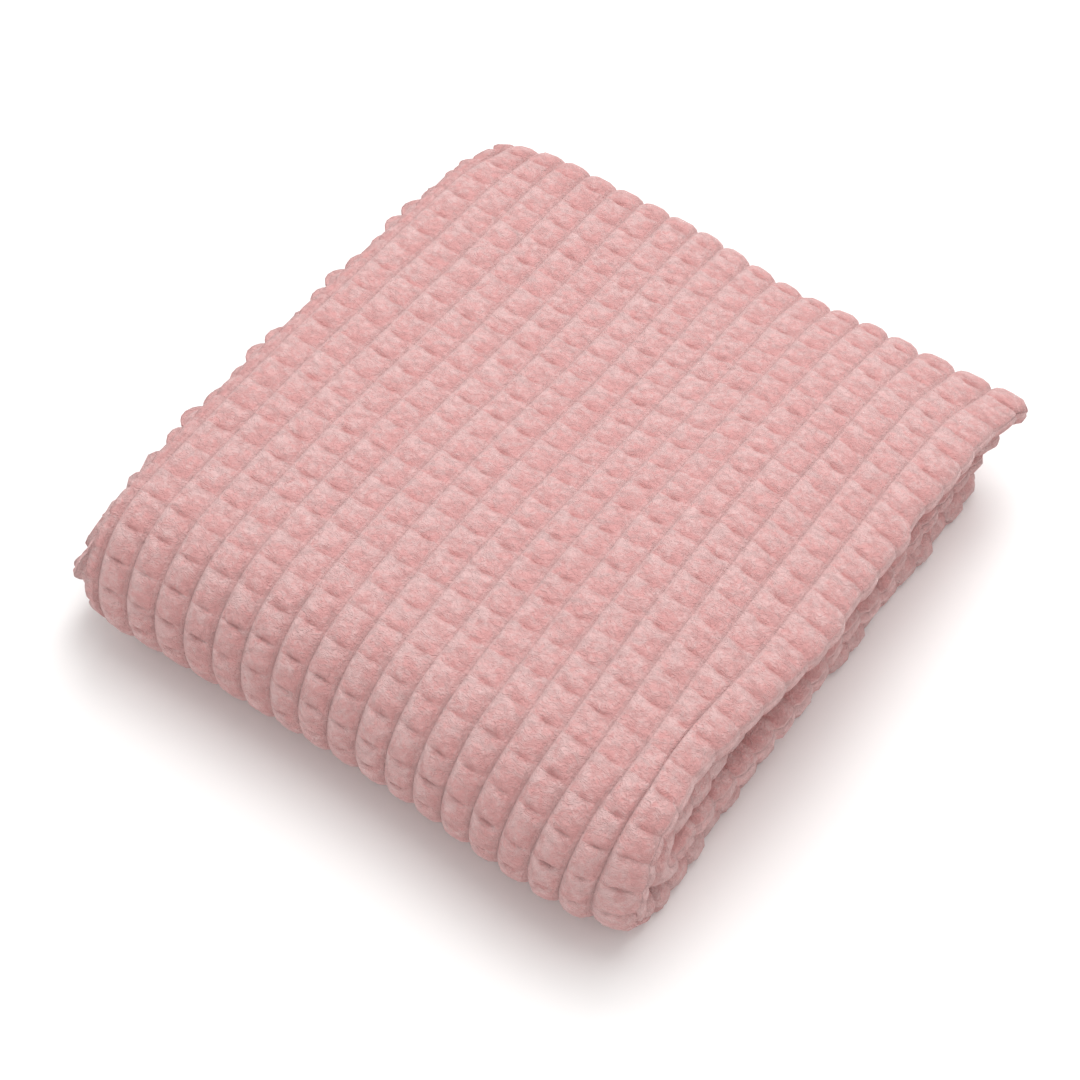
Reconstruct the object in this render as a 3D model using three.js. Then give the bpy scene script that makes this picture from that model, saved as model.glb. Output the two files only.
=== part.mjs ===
// A folded flannel blanket: one ribbed cloth, folded in four across and in four along.
// Millimetres, +Z up. X runs across the ribs, Y runs along them, the big fold is at -Y.
import * as THREE from 'three';

// Driving dimensions of the cloth
const RIB_PITCH = 19.5;        // groove to groove
const RIBS_ON_TOP = 18;        // full ribs between the two shoulders of the top
const CLOTH = 4.7;             // thickness over the crown of a rib
const GROOVE_DEPTH = 2.6;      // how far the groove between two ribs goes in
const CLOTH_GAP = 0.95;        // air between two cloths of a bundle
const BUNDLE_GAP = 1.2;        // air between two bundles of the stack
const HEM_TAPER = 0.42;        // share of the thickness that is left at a free edge
const HEM_WIDTH = 9;           // how far in from the free edge the cloth thins

// Driving dimensions of the folded stack, where each bundle is four cloths thick
const BUNDLE_RUN = 334;        // straight length of the top bundle, between its two folds
const FREE_RUN = 6;            // how much further the two free bundle ends reach at the back
const RIGHT_TUCK = 8.5;        // how far before its last groove the top starts to roll over
const LEFT_OVERHANG = 3;       // top cloth past its first groove, up to its left fold
const LOWER_OVERHANG = 15;     // free cloth edges at the left, past the first groove
const EDGE_WAVE = 2.4;         // how unevenly those free edges run
const EDGE_WAVES = 5;          // waves of them along one bundle
const EDGE_FLARE = 11;         // how much further out they run around the front fold
const FLARE_LOW = 0.55;        // below 1 they run furthest out in the lower half of that fold
const EDGE_RECEDE = 13;        // how much further in they run at the top of that fold
const RECEDE_LONG = 32;        // and over which length of it, to either side

// How each bundle lies: sideways shift of its left and right side, at its front, a third in and back
const LAY = [
  { bundle: 'bottom', left: [2, -12, -10], right: [-15, -17, -7] },
  { bundle: 'top', left: [0, 0, 0], right: [0, 0, 0] },
  { bundle: 'second', left: [-5, -4, -4], right: [-15, -18, -8] },
  { bundle: 'third', left: [-10, -10, -8], right: [-10, -8, -6] },
];
const THIRD_IN = 0.3;          // where the second of those shifts is, as a share of the run

// The stack is loose, so it swells: how much higher each place is than the pressed stack
const SWELL = [
  { place: 'front middle', x: -22, y: -90, wide: 280, long: 115, lift: 0.155 },
  { place: 'right ridge', x: 96, y: 20, wide: 60, long: 150, lift: 0.186 },
  { place: 'left shoulder', x: -178, y: 52, wide: 60, long: 150, lift: 0.106 },
  { place: 'far right corner', x: 165, y: 200, wide: 90, long: 70, lift: -0.2 },
  { place: 'back edge', x: 40, y: 230, wide: 55, long: 50, lift: -0.32 },
];

// The front fold bulges most right of its middle: how much further it reaches, as a share
const FRONT_BULGE = { x: 115, wide: 75, reach: 0.16 };

// The near right corner is drawn in: where that starts and ends, and by what share of the fold's reach
const CORNER = { start: 130, end: 185, draw: 0.24 };

// The far right corner reaches further out and the far left one is drawn in: how far, and where that starts
// and ends, in x for each, in y, and in height for the right one
const REACH = { out: 9, right: [100, 170], drawn: 8, left: [-185, -130], back: [125, 185], high: [25, 80] };

// Near the front fold the top's rolled edge is tucked in: how far, how much of its length, and over which width
const TUCK = { in: 13, from: 22, long: 48, start: -26, end: 4 };

// A rolled edge is fuller on its ribbed side and tucked in on the other, by this share of its height
const ROLL = { lean: 0.45, start: -6, end: 12 };    // it sets in from start to end past the face

// The folds aren't quite square to each other
const SKEW = { across: -0.0238, bow: -0.000086, fan: -0.00009, lean: -0.000035 };

// Worked out from these
const HALF = CLOTH / 2;
const CLOTH_STEP = CLOTH + CLOTH_GAP;
const BUNDLE = 4 * CLOTH + 3 * CLOTH_GAP;
const BUNDLE_STEP = BUNDLE + BUNDLE_GAP;
const TOP_WIDTH = RIBS_ON_TOP * RIB_PITCH;
const OUTER_TURN = 1.5 * CLOTH_STEP;
const INNER_TURN = CLOTH_STEP / 2;
const FRONT_TURN = 1.5 * BUNDLE_STEP;
const BACK_TURN = BUNDLE_STEP / 2;
const QUARTER = Math.PI / 2;
const FACE_RUN = TOP_WIDTH - RIGHT_TUCK;
const FACE_END = TOP_WIDTH / 2 - RIGHT_TUCK;
const LAST_GROOVE = 1 - RIGHT_TUCK / (2 * QUARTER * OUTER_TURN);

const smooth = (a, b, v) => THREE.MathUtils.smoothstep(v, a, b);

// Marks along one leg of a route, as shares of its length, without the leg's last point
const even = (count) => Array.from({ length: count }, (_, i) => i / count);

// A route is a line of straight runs and round turns, with the right-hand normal at each mark
function route(start, heading, legs) {
  const points = [];
  let place = start.clone();
  let angle = heading;
  let walked = 0;
  legs.forEach((leg, index) => {
    const turn = leg.turn ?? 0;
    const length = leg.run ?? Math.abs(turn) * leg.radius;
    const centre = place.clone();
    if (turn) {
      const side = angle + Math.sign(turn) * QUARTER;
      centre.add(new THREE.Vector2(Math.cos(side), Math.sin(side)).multiplyScalar(leg.radius));
    }
    const at = (share) => {
      const now = angle + turn * share;
      const spot = place.clone();
      if (turn) {
        const side = now - Math.sign(turn) * QUARTER;
        spot.set(Math.cos(side), Math.sin(side)).multiplyScalar(leg.radius).add(centre);
      } else {
        spot.add(new THREE.Vector2(Math.cos(now), Math.sin(now)).multiplyScalar(length * share));
      }
      const normal = new THREE.Vector2(Math.sin(now), -Math.cos(now));
      return { spot, normal, share, leg: leg.name, walked: walked + length * share };
    };
    const last = index === legs.length - 1;
    const marks = last ? [...leg.marks, 1] : leg.marks;
    marks.forEach((share, step) => {
      points.push({ ...at(share), plain: step % (leg.plainEvery ?? 1) === 0 || share === 1 });
    });
    place = at(1).spot;
    angle += turn;
    walked += length;
  });
  return points;
}

// Three marks a rib: the groove and the two sides of the crown
const CROWN_SIDES = [0, 0.27, 0.73];
const ribMarks = () => Array.from({ length: RIBS_ON_TOP }, (_, k) => k)
  .flatMap((k) => CROWN_SIDES.map((f) => ((k + f) * RIB_PITCH - RIGHT_TUCK) / FACE_RUN))
  .filter((share) => share > 0);

// Across the stack: one bundle is the cloth folded in half and in half again
const across = route(
  new THREE.Vector2(-TOP_WIDTH / 2 - LOWER_OVERHANG, -OUTER_TURN),
  0,
  [
    { name: 'lowest', run: FACE_RUN + LOWER_OVERHANG, marks: [0, 0.03, 0.3, 0.6, 0.85] },
    {
      name: 'right fold',
      turn: 2 * QUARTER,
      radius: OUTER_TURN,
      marks: [0, 0.17, 0.34, 0.51, LAST_GROOVE, 0.85],
    },
    { name: 'face', run: FACE_RUN, marks: [0, ...ribMarks()], plainEvery: 9 },
    { name: 'left lip', run: LEFT_OVERHANG, marks: [0] },
    { name: 'left fold', turn: 2 * QUARTER, radius: INNER_TURN, marks: even(4) },
    { name: 'second', run: FACE_RUN + LEFT_OVERHANG, marks: even(5) },
    { name: 'inner fold', turn: -2 * QUARTER, radius: INNER_TURN, marks: even(4) },
    { name: 'third', run: FACE_RUN + LOWER_OVERHANG, marks: [0, 0.25, 0.5, 0.75, 0.97] },
  ],
);

// Along the stack: the bundle is folded in half and in half again too
const along = route(
  new THREE.Vector2(BUNDLE_RUN / 2 + FREE_RUN, BUNDLE / 2),
  2 * QUARTER,
  [
    { name: 'bottom', run: BUNDLE_RUN + FREE_RUN, marks: [0, 0.02, 0.3, 0.6, 0.85] },
    { name: 'front fold', turn: -2 * QUARTER, radius: FRONT_TURN, marks: even(9) },
    { name: 'top', run: BUNDLE_RUN, marks: [0, 0.07, 0.15, 0.3, 0.46, 0.62, 0.77, 0.9] },
    { name: 'back fold', turn: -2 * QUARTER, radius: BACK_TURN, marks: even(6) },
    { name: 'second', run: BUNDLE_RUN, marks: even(4) },
    { name: 'inner fold', turn: 2 * QUARTER, radius: BACK_TURN, marks: even(5) },
    { name: 'third', run: BUNDLE_RUN + FREE_RUN, marks: [0, 0.3, 0.6, 0.85, 0.98] },
  ],
);

// Straight lines between known values
function between(knots, values, at) {
  const k = Math.max(1, knots.findIndex((knot, i) => at <= knot || i === knots.length - 1));
  return THREE.MathUtils.mapLinear(at, knots[k - 1], knots[k], values[k - 1], values[k]);
}

// Walked length at the front, a third in and at the back of each bundle, in the order of the route
const LAY_KNOTS = LAY.flatMap(({ bundle }) => {
  const run = along.filter((station) => station.leg === bundle);
  const start = run[0].walked;
  const end = start + BUNDLE_RUN + (bundle === 'bottom' || bundle === 'third' ? FREE_RUN : 0);
  const fromBack = bundle === 'bottom' || bundle === 'second';
  const inner = THREE.MathUtils.lerp(start, end, fromBack ? 1 - THIRD_IN : THIRD_IN);
  return [start, inner, end];
});
const layValues = (side) => LAY.flatMap((row) => {
  const fromBack = row.bundle === 'bottom' || row.bundle === 'second';
  return fromBack ? row[side].toReversed() : row[side];
});
const LAY_LEFT = layValues('left');
const LAY_RIGHT = layValues('right');

// Sideways shift of a point, between its bundle's left and right shifts
function slide(mark, station) {
  const share = smooth(-TOP_WIDTH / 2, TOP_WIDTH / 2, mark.spot.x);
  const left = between(LAY_KNOTS, LAY_LEFT, station.walked);
  const right = between(LAY_KNOTS, LAY_RIGHT, station.walked);
  return THREE.MathUtils.lerp(left, right, share);
}

// The free edges at the left run unevenly, the rest of the bundle doesn't
const TOP_START = along.find((station) => station.leg === 'top').walked;
function wave(mark, station) {
  const free = smooth(0.6, 1, { 'lowest': 1 - mark.share, 'third': mark.share }[mark.leg] ?? 0);
  const turns = EDGE_WAVES * station.walked / BUNDLE_RUN + (mark.leg === 'third' ? 0.16 : 0);
  const around = station.leg === 'front fold' ? Math.sin(Math.PI * station.share ** FLARE_LOW) : 0;
  const recede = Math.exp(-(((station.walked - TOP_START) / RECEDE_LONG) ** 2));
  const flare = EDGE_FLARE * around - EDGE_RECEDE * recede;
  return free * (EDGE_WAVE * Math.sin(2 * Math.PI * turns) - flare);
}

// How deep the face is drawn in at this mark: 1 in a groove, 0 on the crown of a rib
function groove(mark, station) {
  const fromLast = mark.walked - across.find((m) => m.leg === 'face').walked + RIGHT_TUCK;
  const inRib = THREE.MathUtils.euclideanModulo(fromLast / RIB_PITCH, 1);
  const shown = { 'right fold': 1, 'face': 1, 'left lip': 1 }[mark.leg] ?? 0;
  const raised = { 'bottom': 0, 'front fold': smooth(0.05, 0.35, station.share) }[station.leg] ?? 1;
  return shown * raised * (inRib < 0.01 || inRib > 0.99 ? 1 : 0);
}

// Cloth thins towards its free edges, where the hem is pressed
function hem(mark, station) {
  const cloth = across.at(-1).walked;
  const bundle = along.at(-1).walked;
  const edge = Math.min(mark.walked, cloth - mark.walked, station.walked, bundle - station.walked);
  return HEM_TAPER + (1 - HEM_TAPER) * smooth(0, HEM_WIDTH, edge);
}

// The loose stack swells, most under the ridge right of the middle
function lift(x, y) {
  return SWELL.reduce((sum, s) => {
    const far = ((x - s.x) / s.wide) ** 2 + ((y - s.y) / s.long) ** 2;
    return sum + s.lift * Math.exp(-far);
  }, 1);
}

// How far the top's rolled edge is drawn in at this length along the stack
function tuck(station, over) {
  const far = (station.walked - TOP_START - TUCK.from) / TUCK.long;
  return TUCK.in * Math.exp(-(far ** 2)) * smooth(TUCK.start, TUCK.end, over);
}

// One point of the cloth's skin: side is 1 on the ribbed face and -1 on the other
function skin(mark, station, side) {
  const thick = HALF * hem(mark, station) * 2;
  const off = side > 0 ? thick - HALF - GROOVE_DEPTH * groove(mark, station) : -HALF;
  const t = mark.spot.y + off * mark.normal.y;
  const folded = mark.spot.x + off * mark.normal.x;
  const lean = ROLL.lean * t * smooth(ROLL.start, ROLL.end, folded - FACE_END);
  const tucked = tuck(station, folded - FACE_END);
  const x = folded + lean - tucked + slide(mark, station) + wave(mark, station);
  const y = station.spot.x - t * station.normal.x;
  const z = station.spot.y - t * station.normal.y;
  const higher = lift(x, y);
  const straight = THREE.MathUtils.clamp(y, -BUNDLE_RUN / 2, BUNDLE_RUN / 2);
  const bulge = y < 0 ? FRONT_BULGE.reach * Math.exp(-(((x - FRONT_BULGE.x) / FRONT_BULGE.wide) ** 2)) : 0;
  const drawn = y < 0 ? CORNER.draw * smooth(CORNER.start, CORNER.end, x) : 0;
  const rounded = straight + (y - straight) * (higher + bulge - drawn);
  const back = smooth(...REACH.back, rounded);
  const out = REACH.out * smooth(...REACH.right, x) * smooth(...REACH.high, z) * back;
  const drawnIn = REACH.drawn * (1 - smooth(...REACH.left, x)) * back;
  return [
    x + SKEW.fan * x * rounded + SKEW.lean * rounded ** 2 + out + drawnIn,
    rounded + SKEW.across * x + SKEW.bow * x ** 2 + out - drawnIn,
    z * higher,
  ];
}

// Closed body: the ribbed face, the other face, and the rims that join them
function cloth() {
  const plain = across.filter((m) => m.plain);
  const positions = [];
  const index = [];
  const put = (marks, side) => along.map((station) => marks.map((mark) => {
    positions.push(...skin(mark, station, side));
    return positions.length / 3 - 1;
  }));
  const face = put(across, 1);
  const back = put(plain, -1);
  const quad = (a, b, c, d) => index.push(a, b, c, a, c, d);
  const sheet = (grid, flip) => {
    for (let j = 0; j + 1 < grid.length; j += 1) {
      for (let i = 0; i + 1 < grid[j].length; i += 1) {
        const corners = [grid[j][i], grid[j + 1][i], grid[j + 1][i + 1], grid[j][i + 1]];
        quad(...(flip ? corners.reverse() : corners));
      }
    }
  };
  sheet(face, false);
  sheet(back, true);
  // Rim along a free edge of the cloth at the left
  const side = (i, k, flip) => {
    for (let j = 0; j + 1 < along.length; j += 1) {
      const corners = [face[j][i], back[j][k], back[j + 1][k], face[j + 1][i]];
      quad(...(flip ? corners.reverse() : corners));
    }
  };
  side(0, 0, false);
  side(across.length - 1, plain.length - 1, true);
  // Rim at a bundle's end, where the ribbed face has more marks than the other
  const end = (j, flip) => {
    const tri = (a, b, c) => index.push(...(flip ? [c, b, a] : [a, b, c]));
    let k = 0;
    for (let i = 0; i + 1 < across.length; i += 1) {
      tri(face[j][i], face[j][i + 1], back[j][k]);
      if (across[i + 1].plain) {
        tri(face[j][i + 1], back[j][k + 1], back[j][k]);
        k += 1;
      }
    }
  };
  end(0, false);
  end(along.length - 1, true);
  const body = new THREE.BufferGeometry();
  body.setAttribute('position', new THREE.Float32BufferAttribute(positions, 3));
  body.setIndex(index);
  return body;
}

const body = cloth();
body.computeBoundingBox();
const box = body.boundingBox;
body.translate(-(box.min.x + box.max.x) / 2, -(box.min.y + box.max.y) / 2, -box.min.z);
body.computeVertexNormals();

// Dusty pink brushed flannel, matt
const flannel = new THREE.MeshStandardMaterial({ color: 0xe0b1af, roughness: 0.95, metalness: 0 });

const blanket = new THREE.Mesh(body, flannel);
blanket.name = 'blanket';

const group = new THREE.Group();
group.add(blanket);

export default group;
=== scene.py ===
"""A folded flannel throw: one ribbed, puffed cloth, folded in four across and in four along.

Lengths of the cloth are in millimetres until its mesh is made, which is in metres.
X runs across the ribs and Y along them. The big rounded fold is at -Y.
"""

import math

import bpy
import numpy as np
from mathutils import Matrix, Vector


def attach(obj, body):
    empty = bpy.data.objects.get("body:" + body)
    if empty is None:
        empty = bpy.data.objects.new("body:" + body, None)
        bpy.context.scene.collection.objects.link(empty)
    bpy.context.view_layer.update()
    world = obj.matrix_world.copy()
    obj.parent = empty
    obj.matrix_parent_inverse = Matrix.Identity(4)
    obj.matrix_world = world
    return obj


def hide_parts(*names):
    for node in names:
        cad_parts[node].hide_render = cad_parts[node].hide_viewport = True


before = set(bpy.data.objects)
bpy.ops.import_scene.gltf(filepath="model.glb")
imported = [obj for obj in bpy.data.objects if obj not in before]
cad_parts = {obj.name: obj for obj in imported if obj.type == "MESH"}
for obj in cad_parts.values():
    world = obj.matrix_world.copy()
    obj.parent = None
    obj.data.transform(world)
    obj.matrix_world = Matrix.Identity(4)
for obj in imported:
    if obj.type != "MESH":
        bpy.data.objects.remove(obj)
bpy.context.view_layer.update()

MM = 0.001
BODY = "root"

# Sizes of the cloth
RIB_PITCH = 19.5        # groove to groove
ROW_PITCH = 18.6        # crease to crease along a rib
RIBS_ON_TOP = 18
CLOTH = 4.7             # thickness before the puffs are raised
CLOTH_GAP = 0.95        # between two cloths of a bundle
BUNDLE_GAP = 1.2        # between two bundles
HEM_TAPER = 0.42        # share of the thickness that is left at a hem
HEM_WIDTH = 9.0         # width of the cloth over which it thins to that

# Sizes of the folded stack
BUNDLE_RUN = 334.0      # straight length between the folds at the front and the back
FREE_RUN = 6.0          # how much further the two free ends at the back reach
RIGHT_TUCK = 8.5        # how far before its last groove the top starts to roll over
LEFT_OVERHANG = 3.0     # how far the cloth runs left past the last rib before it folds back
LOWER_OVERHANG = 15.0   # and how far its two free edges do
EDGE_WAVE = 2.4         # how far the free edges wander in and out
EDGE_WAVES = 5.0        # how many times they do so over the length of the stack
EDGE_SHIFT = 1.0        # angle by which the upper one is ahead
EDGE_START = 0.6        # share of the way to a free edge from which the cloth follows its run
EDGE_FLARE = 14.0       # how much further out the free edges run around the front fold
FLARE_LOW = 0.5         # below 1 they run furthest out in the lower half of that fold
EDGE_RECEDE = 13.0      # how much further in they run at the top of that fold
RECEDE_LONG = 32.0      # and over which length of it, to either side
FIRST_ROW_Y = -186.3    # where crease row 0 would lie if the top ran on flat past the front fold

# How each bundle lies: sideways shift of its left and right side, at its front, a third in and back
LAY = {
    "bottom": ((2, -12, -10), (-15, -17, -7)),
    "top": ((0, 0, 0), (0, 0, 0)),
    "second": ((-5, -4, -4), (-15, -18, -8)),
    "third": ((-10, -10, -8), (-10, -8, -6)),
}
THIRD_IN = 0.3          # where the second of those shifts is, as a share of the run

# Where the loose stack swells or sinks: x, y, half width, half length, share of the height
SWELL = (
    (-22, -90, 280, 115, 0.155),
    (96, 20, 60, 150, 0.186),
    (-178, 52, 60, 150, 0.106),
    (165, 200, 90, 70, -0.2),
    (40, 230, 55, 50, -0.32),
)

# The front fold bulges most right of its middle: how much further it reaches, as a share
BULGE_X, BULGE_WIDE, BULGE_REACH = 115.0, 75.0, 0.16

# The near right corner is drawn in: where that starts and ends, and by what share of the fold's reach
CORNER_START, CORNER_END, CORNER_DRAW = 130.0, 185.0, 0.24

# The far right corner reaches further out and the far left one is drawn in: how far, and where that
# starts and ends, in x for each, in height for the right one, and in y for both
REACH_OUT, REACH_RIGHT, REACH_HIGH = 9.0, (100, 170), (25, 80)
REACH_DRAWN, REACH_LEFT, REACH_BACK = 8.0, (-185, -130), (125, 185)

# Near the front fold the top's rolled edge is tucked in: how far, where its middle is behind that fold,
# over which length to either side, and where it sets in across, from the start of the roll
TUCK_IN, TUCK_FROM, TUCK_LONG = 13.0, 22.0, 48.0
TUCK_START, TUCK_END = -26.0, 4.0

# A rolled edge is fuller on its puffed side and tucked in on the other, by this share of its height
ROLL_LEAN = 0.45
ROLL_START, ROLL_END = -6.0, 12.0   # from the start of the roll, where that leaning sets in

# Free edges and rolled edges bulge between the creases, one lobe to a row: how far in all
SCALLOP = 7.5           # of the free edges
ROLL_LOBE = 1.7         # of the top's rolled edge
LOWER_LOBE = 3.8        # of the rolled edges under it
LOBE_LEVEL = 0.6        # where the edge itself runs, from a lobe's notch at 0 to its crown at 1
SCALLOP_CALM = 0.85     # share of the free edges' lobes that is pulled out around the front fold
SCALLOP_OUT = 0.3       # share of their size by which they are moved out
SCALLOP_WIDE = 18.0     # width of the cloth over which they fade
ROLL_UNEVEN = 2.4       # how far a row of a rolled edge may lie further out or in
ROLL_RIB = 5            # the rib whose random values these rows take

# The folds aren't quite square to each other: shift in y with x and its square, in x with x times y and
# with the square of y
SKEW_ACROSS, SKEW_BOW, SKEW_FAN, SKEW_LEAN = -0.0238, -0.000086, -0.00009, -0.000035

CLOTH_STEP = CLOTH + CLOTH_GAP
BUNDLE = 4 * CLOTH + 3 * CLOTH_GAP
BUNDLE_STEP = BUNDLE + BUNDLE_GAP
TOP_WIDTH = RIBS_ON_TOP * RIB_PITCH
OUTER_TURN = 1.5 * CLOTH_STEP
INNER_TURN = CLOTH_STEP / 2
FRONT_TURN = 1.5 * BUNDLE_STEP
BACK_TURN = BUNDLE_STEP / 2
FACE_RUN = TOP_WIDTH - RIGHT_TUCK
FACE_END = TOP_WIDTH / 2 - RIGHT_TUCK
FOLD_SWELL = 1.09       # how much longer the loose front fold is than the pressed one


# Routes of the fold
class Route:
    """A line of straight runs and half turns. A leg is (name, length, turn, radius)."""

    def __init__(self, start, heading, legs):
        self.names = [leg[0] for leg in legs]
        self.turns = [leg[2] for leg in legs]
        self.radii = [leg[3] for leg in legs]
        self.lengths = [leg[1] for leg in legs]
        self.starts = np.concatenate([[0.0], np.cumsum(self.lengths)])
        self.total = self.starts[-1]
        self.places = []
        place = np.array(start, float)
        angle = heading
        for _, length, turn, radius in legs:
            self.places.append((place.copy(), angle))
            if turn:
                side = angle + math.copysign(math.pi / 2, turn)
                centre = place + radius * np.array([math.cos(side), math.sin(side)])
                angle += turn
                side = angle - math.copysign(math.pi / 2, turn)
                place = centre + radius * np.array([math.cos(side), math.sin(side)])
            else:
                place = place + length * np.array([math.cos(angle), math.sin(angle)])

    def leg(self, name):
        """Start and end of a leg, as lengths along the route."""
        k = self.names.index(name)
        return self.starts[k], self.starts[k + 1]

    def share(self, walked, name):
        """How far along the named leg each length is, held between 0 and 1."""
        start, end = self.leg(name)
        return np.clip((walked - start) / (end - start), 0, 1)

    def at(self, walked):
        """Place and right-hand normal at each length along the route."""
        walked = np.asarray(walked, float)
        spot = np.zeros(walked.shape + (2,))
        normal = np.zeros(walked.shape + (2,))
        for k, (place, angle) in enumerate(self.places):
            last = k == len(self.places) - 1
            here = (walked >= self.starts[k]) & ((walked < self.starts[k + 1]) | last)
            if k == 0:
                here |= walked < 0
            past = walked[here] - self.starts[k]
            turn = self.turns[k]
            if turn:
                now = angle + turn * past / self.lengths[k]
                half = math.copysign(math.pi / 2, turn)
                centre = place + self.radii[k] * np.array([math.cos(angle + half), math.sin(angle + half)])
                spot[here] = centre + self.radii[k] * np.stack([np.cos(now - half), np.sin(now - half)], -1)
            else:
                now = np.full(past.shape, angle)
                spot[here] = place + past[:, None] * np.array([math.cos(angle), math.sin(angle)])
            normal[here] = np.stack([np.sin(now), -np.cos(now)], -1)
        return spot, normal


def run(name, length):
    """A straight leg."""
    return name, length, 0.0, 0.0


def fold(name, radius, side):
    """A half turn, to the left where side is 1 and to the right where it is -1."""
    return name, math.pi * radius, side * math.pi, radius


across = Route((-TOP_WIDTH / 2 - LOWER_OVERHANG, -OUTER_TURN), 0.0, (
    run("lowest", FACE_RUN + LOWER_OVERHANG),
    fold("right fold", OUTER_TURN, 1),
    run("face", FACE_RUN),
    run("left lip", LEFT_OVERHANG),
    fold("left fold", INNER_TURN, 1),
    run("second", FACE_RUN + LEFT_OVERHANG),
    fold("inner fold", INNER_TURN, -1),
    run("third", FACE_RUN + LOWER_OVERHANG),
))

along = Route((BUNDLE_RUN / 2 + FREE_RUN, BUNDLE / 2), math.pi, (
    run("bottom", BUNDLE_RUN + FREE_RUN),
    fold("front fold", FRONT_TURN, -1),
    run("top", BUNDLE_RUN),
    fold("back fold", BACK_TURN, -1),
    run("second", BUNDLE_RUN),
    fold("inner fold", BACK_TURN, 1),
    run("third", BUNDLE_RUN + FREE_RUN),
))


def smooth(low, high, value):
    """Eased step, from 0 at low to 1 at high."""
    share = np.clip((value - low) / (high - low), 0, 1)
    return share * share * (3 - 2 * share)


def around_front(stations):
    """0 at both ends of the front fold and beyond them, and 1 half way round it."""
    return np.sin(math.pi * along.share(stations, "front fold")) ** 0.5


# Where the pattern lies
def rib_of(walked):
    """Rib count at a length across the cloth: groove k of the top at the whole number k."""
    return RIBS_ON_TOP - (walked - across.leg("face")[0] + RIGHT_TUCK) / RIB_PITCH


def row_of(walked, height):
    """Row count at a length along the stack, for a cloth that lies at this height in its bundle."""
    front = along.leg("front fold")
    top = along.leg("top")
    back = along.leg("back fold")
    inner = along.leg("inner fold")
    laid = np.clip(walked, *top) - top[0]
    laid = laid - (top[0] - np.clip(walked, *front)) * (FRONT_TURN + height) * FOLD_SWELL / FRONT_TURN
    laid = laid - (front[0] - np.clip(walked, 0, front[0]))
    laid = laid + (np.clip(walked, *back) - back[0]) * (BACK_TURN + height) / BACK_TURN
    laid = laid + np.clip(walked, back[1], inner[0]) - back[1]
    laid = laid + (np.clip(walked, *inner) - inner[0]) * (BACK_TURN - height) / BACK_TURN
    laid = laid + np.clip(walked, inner[1], along.total) - inner[1]
    return (-BUNDLE_RUN / 2 - FIRST_ROW_Y + laid) / ROW_PITCH


# How far the woven lines wander from even spacing, in millimetres
CREASE_WANDER = 1.1
GROOVE_WANDER = 0.45

# The face keeps its puffs where it shows, and has less of them where it is pressed or hidden
FLOOR_REACH = 10.0                      # below this height a face that looks down lies on the floor
FLOOR_START, FLOOR_END = 0.7, 0.96      # how much of its way out is down, where its puffs fade
INNER_RELIEF = 0.5                      # share of the relief left where the face is folded in
ROLL_CALM = 0.55                        # share of it that is pulled out of the top's rolled edge
ROLL_DEEPEN = 0.35                      # and that the rolled edges under it have more
CALM_START, CALM_END = 2.0, 9.0         # where both set in, from the start of the roll
FREE_START, FREE_END = 0.9, 0.93        # share of the third leg, where its free edge comes to show
BACK_RELIEF = 0.8                       # share of the relief on the other side of that edge
BACK_ROUND = 0.6                        # how round the ribs stand over the back fold, 1 as over the front one
BACK_START, BACK_END = -24.0, 4.0       # where that sets in, from the start of the back fold
SLIP_START, SLIP_END = 0.2, 0.8         # share of the lowest leg over which its rows slip back to their own

# Random values, one to a cell of a rib and a row: a layer for the creases and the rows of the rolled
# edges, and one for the grooves
LAYERS, LOOSE_RIBS, LOOSE_ROWS = 2, 64, 96
FIRST_RIB, FIRST_ROW = -24, -40         # rib and row of the first cell
BLEND_START, BLEND_END = 0.8, 1.2       # place in a rib where the next one's value comes in, up to 1
chance = np.random.default_rng(11)
LOOSE = chance.uniform(-1, 1, (LAYERS, LOOSE_RIBS, LOOSE_ROWS))


def loose_at(layer, rib, row):
    """Random value at a place in the pattern. It is steady over most of a rib and half way to the next
    one's at its end, and along the rib it goes from row to row."""
    own_rib, own_row = np.floor(rib), np.floor(row)
    to_next_rib = smooth(BLEND_START, BLEND_END, rib - own_rib)
    to_next_row = smooth(0.0, 1.0, row - own_row)
    i = np.clip(own_rib.astype(int) - FIRST_RIB, 0, LOOSE_RIBS - 2)
    j = np.clip(own_row.astype(int) - FIRST_ROW, 0, LOOSE_ROWS - 2)
    near = LOOSE[layer, i, j] * (1 - to_next_row) + LOOSE[layer, i, j + 1] * to_next_row
    beyond = LOOSE[layer, i + 1, j] * (1 - to_next_row) + LOOSE[layer, i + 1, j + 1] * to_next_row
    return near * (1 - to_next_rib) + beyond * to_next_rib


def crease_wander(rib, row):
    """How far a crease lies off its even place along the rib."""
    return CREASE_WANDER * loose_at(0, rib, row)


def groove_wander(rib, row):
    """How far a groove lies off its even place across the ribs, with slower changes than the creases."""
    return GROOVE_WANDER * loose_at(1, rib + 0.5, row / 2)


def row_height(marks):
    """Height in its bundle that a length across the cloth takes its rows from. Around the rolled right
    edge the rows stay those of the face, and they slip back to their own under the stack."""
    own = across.at(marks)[0][..., 1]
    slipped = smooth(SLIP_START, SLIP_END, across.share(marks, "lowest"))
    return np.where(marks < across.leg("face")[0], -OUTER_TURN + 2 * OUTER_TURN * slipped, own)


# How the stack lies
def lay_knots():
    """Lengths along the stack where the shifts are known, and the left and right shifts there."""
    knots, left, right = [], [], []
    for name in ("bottom", "top", "second", "third"):
        start, end = along.leg(name)
        from_back = name in ("bottom", "second")
        inner = start + (end - start) * (1 - THIRD_IN if from_back else THIRD_IN)
        turn = -1 if from_back else 1
        knots += [start, inner, end]
        left += LAY[name][0][::turn]
        right += LAY[name][1][::turn]
    return knots, left, right


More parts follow.
